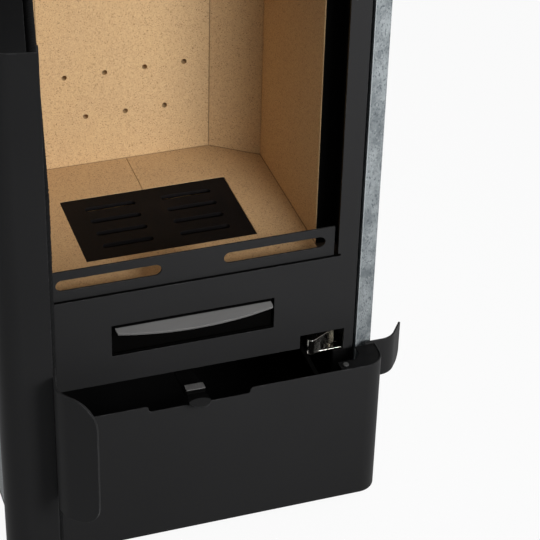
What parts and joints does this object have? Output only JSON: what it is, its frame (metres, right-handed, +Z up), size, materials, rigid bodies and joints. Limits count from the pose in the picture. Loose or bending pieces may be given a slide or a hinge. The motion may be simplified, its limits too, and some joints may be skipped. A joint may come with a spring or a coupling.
{
  "type": "steel wood stove",
  "caption": "Free-standing steel wood stove with stone sides, a bent-sheet firebox door and store door on pin hinges, a lined firebox, a grate and an ash drawer.",
  "frame": {"origin": "on the floor, under the middle of the stove's body (doors left out)", "axes": "+X to the right and -Y out of the front as the user faces the stove, +Z up"},
  "size_m": [0.6784, 1.042, 1.131],
  "materials": {
    "black_paint": "matt black stove paint",
    "dark_steel": "plain black sheet",
    "bright_steel": "bright",
    "grey_steel": "satin grey",
    "iron": "matt",
    "stone": "honed grey soapstone",
    "vermiculite": "pressed board",
    "glass": "clear glass ceramic",
    "rope": "braided glass rope",
    "foot": "zinc"
  },
  "bodies": {
    "stove_body": {"base_plate": "black_paint", "front_plate": "black_paint", "top_plate": "black_paint", "flue_collar": "black_paint", "hinge_bracket": "black_paint", "log_retainer": "black_paint", "casing_left": "dark_steel", "casing_right": "dark_steel", "rear_cover": "dark_steel", "firebox_bottom": "dark_steel", "firebox_wrap": "dark_steel", "firebox_roof": "dark_steel", "lining_trim_left": "dark_steel", "lining_trim_right": "dark_steel", "air_wash_duct": "dark_steel", "ash_housing": "dark_steel", "air_box": "dark_steel", "air_duct": "dark_steel", "latch_pin": "bright_steel", "latch_spring": "bright_steel", "latch_cup": "bright_steel", "hinge_pin_low": "bright_steel", "hinge_pin_middle": "bright_steel", "hinge_pin_top": "bright_steel", "grate": "iron", "stone_left": "stone", "stone_right": "stone", "floor_left": "vermiculite", "floor_right": "vermiculite", "left_lining": "vermiculite", "right_lining": "vermiculite", "rear_left_lining": "vermiculite", "rear_right_lining": "vermiculite", "back_lining": "vermiculite", "baffle": "vermiculite", "foot_centre": "foot", "foot_front_left": "foot", "foot_front_right": "foot", "foot_rear_left": "foot", "foot_rear_right": "foot"},
    "firebox_door": {"upper_door_shell": "black_paint", "upper_door_frame": "black_paint", "door_glass": "glass", "glass_gasket": "rope", "door_seal": "rope", "upper_door_lip": "black_paint", "upper_hinge_plate_top": "dark_steel", "upper_hinge_plate_low": "dark_steel", "upper_catch": "dark_steel"},
    "store_door": {"lower_door_shell": "black_paint", "lower_door_lip": "black_paint", "lower_hinge_plate_top": "dark_steel", "lower_hinge_plate_low": "dark_steel", "lower_catch": "dark_steel", "lower_gusset": "black_paint"},
    "ash_drawer": {"ash_drawer": "dark_steel", "ash_pull": "grey_steel"},
    "air_control": {"air_slide": "bright_steel", "air_lever": "black_paint"},
    "latch": {"latch_tongue": "bright_steel"}
  },
  "joints": [
    {"name": "firebox_door_hinge", "type": "hinge", "parent": "stove_body", "child": "firebox_door", "pos_m": [-0.246, -0.24, 0.65], "axis": [0, 0, -1], "range_deg": [-101, 19]},
    {"name": "store_door_hinge", "type": "hinge", "parent": "stove_body", "child": "store_door", "pos_m": [-0.246, -0.24, 0.135], "axis": [0, 0, -1], "range_deg": [0, 105]},
    {"name": "ash_drawer_slide", "type": "slide", "parent": "stove_body", "child": "ash_drawer", "axis": [0, -1, 0], "range_m": [0, 0.2]},
    {"name": "air_control_slide", "type": "slide", "parent": "stove_body", "child": "air_control", "axis": [1, 0, 0], "range_m": [-0.045, 0.045]},
    {"name": "latch_pivot", "type": "hinge", "parent": "stove_body", "child": "latch", "pos_m": [0.206, -0.183, 0.252], "axis": [0, 0, 1], "range_deg": [0, 15], "stiffness_Nm_per_rad": 0.2}
  ]
}
